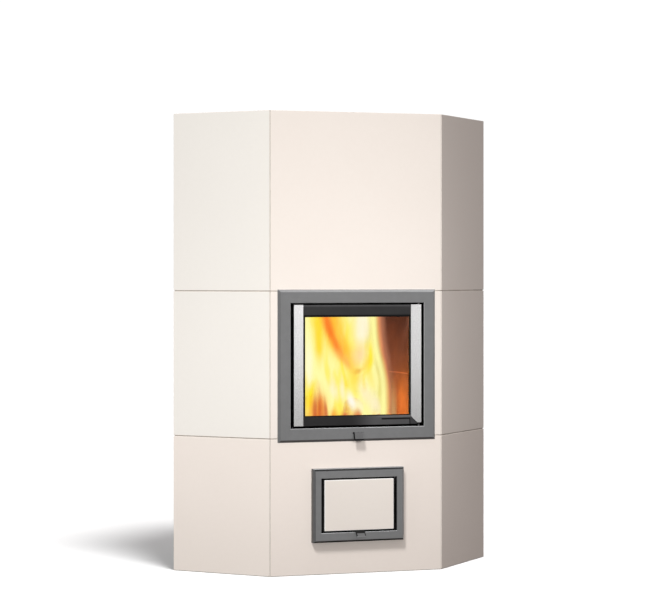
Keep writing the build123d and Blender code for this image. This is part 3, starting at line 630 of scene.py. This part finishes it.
F_HAZE = flame_material("flame_haze", srgb(196, 128, 96), srgb(150, 92, 70), 0.5, 0.6, (0.4, 0.06), 0.25, 26.0)
F_SOFT = flame_material("flame_soft", srgb(255, 222, 66), srgb(255, 236, 104), 0.5, 0.6, (0.5, 0.5), 0.3, 30.0)

tongue("body_back", 262, [(0, 492, 176), (-6, 640, 166), (-14, 780, 158), (-18, 868, 140)], F_BACK, 26, 14, 28, 40, 1.3)
tongue("body_mid", 214, [(-2, 490, 160), (-14, 640, 150), (-24, 780, 144), (-30, 868, 126)], F_BACK, -22, 14, 28, 40, 4.1)
tongue("body_front", 168, [(0, 489, 162), (-2, 600, 160), (-10, 670, 152), (-17, 770, 143), (-19, 868, 139)],
       F_BODY, 14, 8, 28, 44, 7.7)
for nm, y, pts, mt in (
        ("gold_field", 160, [(46, 596, 30), (28, 640, 44), (2, 690, 62), (-20, 740, 80), (-34, 790, 96), (-42, 836, 108), (-46, 868, 112)], F_FIELD),
        ("streak_left", 150, [(46, 606, 16), (39, 645, 22), (24, 664, 27), (4, 690, 33), (-12, 720, 37), (-29, 752, 35), (-46, 790, 34), (-60, 836, 34), (-66, 868, 35)], F_STREAK),
        ("streak_soft", 156, [(58, 600, 24), (47, 640, 34), (31, 680, 42), (13, 718, 47), (-5, 752, 50), (-20, 790, 52), (-33, 836, 54), (-40, 868, 56)], F_AMBER),
        ("yellow_left", 154, [(-76, 640, 14), (-78, 690, 24), (-80, 730, 32), (-81, 770, 38), (-82, 868, 40)], F_GOLD),
        ("streak_right", 148, [(76, 626, 14), (90, 650, 18), (98, 680, 21), (100, 714, 22), (101, 745, 20), (101, 778, 12)], F_SAT),
        ("hook_right", 146, [(40, 634, 14), (60, 650, 20), (76, 664, 22), (87, 684, 20), (92, 712, 10)], F_HOOK),
        ("junction", 143, [(44, 636, 18), (50, 650, 34), (58, 664, 20)], F_JOIN),
        ("patch_centre", 158, [(44, 580, 22), (46, 606, 38), (49, 636, 42), (52, 670, 28)], F_SOFT),
        ("white_top", 140, [(54, 716, 30), (62, 760, 48), (66, 803, 60), (62, 868, 70)], F_WHITE),
        ("peach", 144, [(52, 650, 18), (57, 686, 36), (61, 718, 44), (62, 772, 34)], F_PEACH),
        ("white_left", 136, [(-120, 560, 14), (-121, 640, 24), (-122, 710, 26), (-122, 800, 18)], F_VEIL),
        ("cream_a", 132, [(-20, 540, 16), (-32, 580, 28), (-38, 612, 28), (-46, 660, 14)], F_CREAM),
        ("cream_b", 128, [(36, 509, 16), (29, 540, 26), (18, 569, 26), (6, 606, 13)], F_SPARK),
        ("cream_c", 138, [(84, 530, 18), (78, 570, 32), (70, 604, 34), (62, 656, 18)], F_PALEP),
        ("cream_d", 134, [(120, 492, 30), (114, 528, 46), (104, 562, 40), (92, 604, 20)], F_PALEP),
        ("cream_e", 139, [(60, 500, 16), (56, 534, 28), (50, 566, 16)], F_CREAM),
        ("gold_low_left", 126, [(-120, 489, 24), (-120, 540, 28), (-116, 590, 26), (-108, 630, 14)], F_SAT),
        ("orange_low", 124, [(-90, 489, 68), (-91, 530, 62), (-92, 574, 48), (-93, 632, 22)], F_LOW),
        ("dark_a", 119, [(-104, 489, 19), (-104, 520, 17), (-105, 556, 13), (-106, 600, 6)], F_DARK),
        ("dark_b", 117, [(-86, 489, 22), (-86, 524, 19), (-88, 562, 14), (-91, 606, 6)], F_DARK),
        ("dark_c", 120, [(-66, 489, 18), (-67, 516, 16), (-70, 546, 11), (-74, 580, 5)], F_DARK),
        ("orange_spot_a", 116, [(-2, 489, 34), (0, 508, 30), (5, 540, 16)], F_SPOT),
        ("orange_spot_b", 118, [(44, 489, 34), (44, 508, 28), (43, 538, 12)], F_SPOT),
        ("orange_spot_c", 119, [(-38, 489, 30), (-38, 510, 26), (-38, 542, 12)], F_LOW),
        ("yellow_low", 142, [(8, 578, 16), (6, 608, 24), (2, 646, 14)], F_SOFT),
        ("orange_edge", 150, [(160, 489, 22), (160, 553, 22), (157, 620, 22), (149, 670, 22), (137, 720, 22), (129, 770, 21), (125, 830, 20), (123, 868, 20)], F_RIM),
        ("yellow_edge", 135, [(140, 489, 27), (140, 553, 27), (136, 620, 26), (127, 670, 25), (114, 720, 25), (107, 770, 25), (102, 830, 26), (100, 868, 27)], F_EDGE),
        ("haze_edge", 168, [(176, 590, 26), (170, 640, 32), (161, 690, 34), (150, 740, 34), (144, 790, 32), (140, 830, 30), (138, 868, 28)], F_HAZE),
        ("gold_centre", 131, [(66, 568, 10), (70, 592, 17), (67, 622, 13), (70, 654, 19), (74, 686, 10)], F_SOFT),
        ("cream_f", 130, [(-4, 530, 12), (-4, 560, 19), (-8, 592, 18), (-8, 622, 14), (-10, 652, 8)], F_CREAM),
        ("gold_right", 137, [(112, 560, 12), (103, 596, 20), (93, 632, 27), (84, 664, 30), (78, 700, 22), (80, 724, 10)], F_SOFT),
        ("tan_edge", 165, [(182, 489, 36), (180, 551, 36), (174, 611, 32), (162, 690, 20)], F_TAN)):
    z0 = pts[0][1]
    tongue(nm, y, [(a, max(b, 489), c) for a, b, c in pts], mt, 6.0, 2.5, 12, 40, z0 * 0.013 + y * 0.1)


def log_materials():
    m = M("log_bark")
    x, y, z = m.split()
    ridge = m.noise(95.0, 5.0, 0.65, 0.4, vec=m.mapped(scale=(1.0, 0.22, 1.0)))
    m.colour(m.ramp(ridge, [(0.32, (0.010, 0.009, 0.008)), (0.55, (0.035, 0.026, 0.020)), (0.75, (0.10, 0.085, 0.075))]))
    crack = m.voronoi(34.0, "DISTANCE_TO_EDGE", vec=m.mapped(scale=(1.0, 0.45, 1.0)))
    hot = m.ramp(crack, [(0.0, (1.0, 1.0, 1.0)), (0.055, (0.35, 0.35, 0.35)), (0.12, (0.0, 0.0, 0.0))])
    m.link(m.mix(1.0, m.ramp(ridge, [(0.3, (1.0, 0.22, 0.02)), (0.7, (1.0, 0.40, 0.05))]), hot, "MULTIPLY"),
           m.p.inputs["Emission Color"])
    m.set(Emission_Strength=1.6, Specular_IOR_Level=0.15)
    m.rough(m.remap(ridge, 0.3, 0.7, 0.8, 0.98))
    m.bump(ridge, 0.9, 0.004, m.bump(crack, 0.5, 0.003))
    e = M("log_end")
    g = e.noise(120.0, 4.0, 0.6)
    e.colour(e.ramp(g, [(0.3, (0.03, 0.02, 0.015)), (0.7, (0.12, 0.06, 0.03))]))
    e.link(e.ramp(g, [(0.28, srgb(150, 40, 10)), (0.5, srgb(236, 116, 34)), (0.72, srgb(255, 176, 64))]), e.p.inputs["Emission Color"])
    e.set(Emission_Strength=0.9, Roughness=0.95, Specular_IOR_Level=0.1)
    e.bump(g, 0.7, 0.002)
    return m.mat, e.mat


BARK, LOG_END = log_materials()


def log(name, a, b, r, seed, nseg=40, nlen=46):
    bm = bmesh.new()
    pa, pb = P(*a), P(*b)
    ax = (pb - pa).normalized()
    s1 = ax.cross(Vector((0, 0, 1))).normalized()
    s2 = s1.cross(ax)
    rows = []
    for j in range(nlen + 1):
        t = j / nlen
        c = pa.lerp(pb, t) + s2 * 0.0025 * math.sin(t * 3.1 + seed) + s1 * 0.003 * math.sin(t * 4.0 + seed * 2)
        ring = []
        for i in range(nseg):
            g = 2 * math.pi * i / nseg
            d = Vector((math.cos(g) * 2.1, math.sin(g) * 2.1, t * 5.0 + seed))
            k = 1.0 + 0.10 * mnoise.noise(d) + 0.035 * mnoise.noise(d * 4.1)
            if j in (0, nlen):
                k *= 0.965
            ring.append(bm.verts.new(c + (s1 * math.cos(g) + s2 * math.sin(g)) * (r / 1000.0) * k * 0.93))
        rows.append(ring)
    for j in range(nlen):
        for i in range(nseg):
            f = bm.faces.new((rows[j][i], rows[j][(i + 1) % nseg], rows[j + 1][(i + 1) % nseg], rows[j + 1][i]))
            f.smooth = True
    for end, ring, sgn in ((0, rows[0], -1), (1, rows[-1], 1)):
        prev = ring
        centre = sum((v.co for v in ring), Vector()) / nseg
        for q, scale in enumerate((0.82, 0.62, 0.42, 0.2)):
            new = []
            for v in ring:
                off = (v.co - centre) * scale
                bulge = 0.0022 * mnoise.noise(off * 90.0 + Vector((seed, end, 0)))
                new.append(bm.verts.new(centre + off + ax * sgn * bulge))
            for i in range(nseg):
                f = bm.faces.new((prev[i], prev[(i + 1) % nseg], new[(i + 1) % nseg], new[i]))
                f.material_index = 1
                f.smooth = True
            prev = new
        mid = bm.verts.new(centre + ax * sgn * 0.0015)
        for i in range(nseg):
            f = bm.faces.new((prev[i], prev[(i + 1) % nseg], mid))
            f.material_index = 1
    bmesh.ops.recalc_face_normals(bm, faces=bm.faces)
    ob = put(bm, "fire_" + name, [BARK, LOG_END])
    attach(ob, "loose_grate")
    return ob


log("log_left", (-92, 196, 529.5), (-74, 372, 529.5), 41, 1.7)
log("log_right", (58, 200, 526.5), (84, 376, 526.5), 38, 5.2)
log("log_top", (-138, 268, 600.0), (142, 300, 594.0), 33, 9.4)


def ember_material():
    m = M("embers")
    n = m.noise(150.0, 4.0, 0.6)
    m.colour(m.ramp(n, [(0.35, (0.02, 0.018, 0.016)), (0.7, (0.16, 0.15, 0.14))]))
    m.link(m.ramp(m.noise(60.0, 3.0, 0.6), [(0.30, (0.06, 0.004, 0.0)), (0.48, srgb(205, 62, 12)), (0.62, srgb(255, 138, 36)), (0.8, srgb(255, 196, 84))]),
           m.p.inputs["Emission Color"])
    m.set(Emission_Strength=1.3, Roughness=0.95, Specular_IOR_Level=0.1)
    m.bump(n, 0.8, 0.002)
    return m.mat


def embers():
    rnd = random.Random(7)
    bm = bmesh.new()
    spots = []
    for _ in range(900):
        if len(spots) >= 120:
            break
        x, y = rnd.uniform(-178, 182), rnd.uniform(84, 350)
        r = rnd.uniform(7, 15)
        near_log = min(abs(x + 80 - (y - 110) * 0.06), abs(x - 60 - (y - 130) * 0.11))
        if near_log < 30 + r:
            continue
        if any((x - a) ** 2 + (y - b) ** 2 < ((r + c) * 0.8) ** 2 for a, b, c in spots):
            continue
        spots.append((x, y, r))
    for x, y, r in spots:
        v0 = len(bm.verts)
        bmesh.ops.create_icosphere(bm, subdivisions=2, radius=1.0)
        bm.verts.ensure_lookup_table()
        sx, sy, sz = r * rnd.uniform(0.8, 1.3), r * rnd.uniform(0.8, 1.3), r * rnd.uniform(0.55, 0.8)
        sd = Vector((x, y, r))
        for v in bm.verts[v0:]:
            k = 1.0 + 0.28 * mnoise.noise(v.co * 1.6 + sd) + 0.1 * mnoise.noise(v.co * 4.0 + sd)
            q = Vector((v.co.x * sx * k, v.co.y * sy * k, v.co.z * sz * k))
            v.co = P(x + q.x, y + q.y, max(488.4, 488.0 + sz * 0.8 + q.z))
    for f in bm.faces:
        f.smooth = True
    ob = put(bm, "fire_embers", [ember_material()])
    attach(ob, "loose_grate")


embers()


# ------------------------------------------------------------------ camera, floor, light
cam_d = bpy.data.cameras.new("camera")
cam = bpy.data.objects.new("camera", cam_d)
bpy.context.scene.collection.objects.link(cam)
cam_d.sensor_fit = "HORIZONTAL"
cam_d.sensor_width = 36.0
cam_d.lens = 119.20
cam_d.shift_x = 0.0
cam_d.shift_y = -0.03859
cam_d.clip_start = 0.1
cam_d.clip_end = 400.0
cam.location = (-2.31480, -7.04255, 0.971487)
cam.rotation_euler = (math.radians(90.0), 0.0, math.radians(-18.2924))
bpy.context.scene.camera = cam


def seen(nt):
    # the floor and backdrop are white where they are looked at, also through the glass,
    # and dim in what they light
    lp = nt.nodes.new("ShaderNodeLightPath")

    def math(op, a, b):
        n = nt.nodes.new("ShaderNodeMath")
        n.operation = op
        for i, v in enumerate((a, b)):
            if isinstance(v, float):
                n.inputs[i].default_value = v
            else:
                nt.links.new(v, n.inputs[i])
        return n.outputs[0]

    bounced = math("ADD", lp.outputs["Diffuse Depth"], lp.outputs["Glossy Depth"])
    through = math("MULTIPLY", lp.outputs["Is Transmission Ray"], math("LESS_THAN", bounced, 0.5))
    return math("MAXIMUM", lp.outputs["Is Camera Ray"], through)


def floor():
    bm = bmesh.new()
    s = 120.0
    vs = [bm.verts.new(p) for p in ((-s, -s, 0), (s, -s, 0), (s, s, 0), (-s, s, 0))]
    bm.faces.new(vs)
    m = M("floor_white")
    m.colour(m.ramp(m.noise(0.8, 2.0), [(0.3, (0.93, 0.93, 0.93)), (0.7, (0.95, 0.95, 0.95))]))
    m.set(Roughness=0.9, Specular_IOR_Level=0.1, Emission_Color=(1.0, 1.0, 1.0, 1.0), Emission_Strength=0.09)
    dim = m.node("ShaderNodeBsdfDiffuse")
    dim.inputs["Color"].default_value = (0.13, 0.128, 0.125, 1.0)
    mx = m.node("ShaderNodeMixShader")
    m.link(seen(m.nt), mx.inputs[0])
    m.link(dim.outputs[0], mx.inputs[1])
    m.link(m.p.outputs[0], mx.inputs[2])
    m.link(mx.outputs[0], m.out.inputs[0])
    ob = put(bm, "floor", [m.mat])
    return ob


FLOOR = floor()


def area(name, loc, target, size, power, col=(1, 1, 1), size_y=None, spread=None):
    d = bpy.data.lights.new(name, "AREA")
    d.shape = "RECTANGLE" if size_y else "SQUARE"
    d.size = size
    if size_y:
        d.size_y = size_y
    d.energy = power
    d.color = col
    if spread is not None:
        d.spread = math.radians(spread)
    o = bpy.data.objects.new(name, d)
    bpy.context.scene.collection.objects.link(o)
    o.location = loc
    o.rotation_euler = (Vector(target) - Vector(loc)).to_track_quat("-Z", "Y").to_euler()
    o.visible_camera = False
    return o


def lit_by(o, only_floor, spare=(), no_shadow=()):
    # the floor has its own light, so that its one soft shadow falls as in the photograph
    c = bpy.data.collections.new(o.name + "_receivers")
    for ob in (FLOOR, *(bpy.data.objects[n] for n in spare)):
        c.objects.link(ob)
    for k in range(len(c.collection_objects)):
        c.collection_objects[k].light_linking.link_state = "INCLUDE" if only_floor else "EXCLUDE"
    o.light_linking.receiver_collection = c
    if no_shadow:
        b = bpy.data.collections.new(o.name + "_blockers")
        for n in no_shadow:
            b.objects.link(bpy.data.objects[n])
        for k in range(len(b.collection_objects)):
            b.collection_objects[k].light_linking.link_state = "EXCLUDE"
        o.light_linking.blocker_collection = b
    return o


def unseen(o):
    # no mirror image of this light in the glaze or in the glass
    o.visible_glossy = False
    o.visible_transmission = False
    return o


def only_on(o, *names):
    # a reflector card that only the named pieces see
    c = bpy.data.collections.new(o.name + "_receivers")
    for n in names:
        c.objects.link(bpy.data.objects[n])
    o.light_linking.receiver_collection = c
    return o


unseen(lit_by(area("key", (0.046, -1.60, 0.793), (0.0, -0.32, 0.75), 0.45, 7.8, (1.0, 1.0, 1.0)), False,
              no_shadow=("ash_pull_shape", "ash_frame_shape", "fire_frame_shape")))
lit_by(area("key_high", (-2.69, -4.17, 6.20), (0.0, -0.32, 0.9), 1.3, 387.0, (1.0, 1.0, 1.0)), False,
       no_shadow=("ash_pull_shape", "fire_frame_shape"))
unseen(lit_by(area("fill_left", (-1.29, -0.624, 0.50), (-0.42, -0.19, 0.48), 0.8, 2.4, (1.0, 1.0, 1.0)), False,
              spare=("fire_frame_shape", "ash_frame_shape")))
only_on(area("strip_card", (0.97, -3.20, 1.30), (0.0, -0.32, 0.86), 1.3, 6.4, (1.0, 1.0, 1.0), 1.8),
        "fire_handle_strip_shape", "fire_trim_strip_shape")
only_on(area("bevel_card", (0.85, -0.85, 2.90), (0.0, -0.33, 0.80), 1.5, 38.0, (0.97, 0.985, 1.0)),
        "fire_frame_shape", "ash_frame_shape")


def glow(name, at, power, col, size):
    d = bpy.data.lights.new(name, "POINT")
    d.energy = power
    d.color = col
    d.shadow_soft_size = size
    o = bpy.data.objects.new(name, d)
    bpy.context.scene.collection.objects.link(o)
    o.location = P(*at)
    o.visible_camera = False
    return unseen(o)


glow("fire_glow", (20, 200, 700), 1.1, (1.0, 0.50, 0.26), 0.06)
glow("fire_glow_low", (136, 120, 520), 0.22, (1.0, 0.47, 0.06), 0.04)
coals = area("coal_glow", P(96, 104, 552), P(200, 104, 546), 0.06, 0.31, (1.0, 0.49, 0.035), 0.14)
unseen(only_on(coals, "firebrick_right_shape"))

sun_d = bpy.data.lights.new("floor_sun", "SUN")
sun_d.energy = 2.6
sun_d.angle = math.radians(16.0)
sun = bpy.data.objects.new("floor_sun", sun_d)
bpy.context.scene.collection.objects.link(sun)
sun.rotation_euler = Vector((-0.11, 0.864, -1.5)).to_track_quat("-Z", "Y").to_euler()
lit_by(sun, True)


def world():
    w = bpy.data.worlds.new("studio")
    bpy.context.scene.world = w
    w.use_nodes = True
    nt = w.node_tree
    nt.nodes.clear()
    out = nt.nodes.new("ShaderNodeOutputWorld")
    tc = nt.nodes.new("ShaderNodeTexCoord")

    def dot(v):
        n = nt.nodes.new("ShaderNodeVectorMath")
        n.operation = "DOT_PRODUCT"
        n.inputs[1].default_value = Vector(v).normalized()
        nt.links.new(tc.outputs["Generated"], n.inputs[0])
        return n.outputs["Value"]

    def remap(v, a, b, c, d):
        n = nt.nodes.new("ShaderNodeMapRange")
        n.interpolation_type = "SMOOTHSTEP"
        for k, x in zip(("From Min", "From Max", "To Min", "To Max"), (a, b, c, d)):
            n.inputs[k].default_value = x
        nt.links.new(v, n.inputs["Value"])
        return n.outputs[0]

    height = remap(dot((0, 0, 1)), -0.35, 0.75, 0.097, 0.412)
    right = remap(dot((1.0, -0.4, 0.0)), -0.1, 0.9, 0.0, 1.0)
    tint = nt.nodes.new("ShaderNodeMix")
    tint.data_type = "RGBA"
    tint.inputs[6].default_value = (1.0, 1.0, 1.0, 1.0)
    tint.inputs[7].default_value = (1.0, 0.85, 0.84, 1.0)
    nt.links.new(right, tint.inputs[0])
    light = nt.nodes.new("ShaderNodeBackground")
    nt.links.new(tint.outputs[2], light.inputs["Color"])
    nt.links.new(height, light.inputs["Strength"])
    white = nt.nodes.new("ShaderNodeBackground")
    white.inputs["Color"].default_value = (1.0, 1.0, 1.0, 1.0)
    white.inputs["Strength"].default_value = 1.05
    mx = nt.nodes.new("ShaderNodeMixShader")
    nt.links.new(seen(nt), mx.inputs[0])
    nt.links.new(light.outputs[0], mx.inputs[1])
    nt.links.new(white.outputs[0], mx.inputs[2])
    nt.links.new(mx.outputs[0], out.inputs["Surface"])


world()
vs = bpy.context.scene.view_settings
vs.view_transform = "Standard"
vs.look = "None"
vs.exposure = 0.0
vs.gamma = 1.0
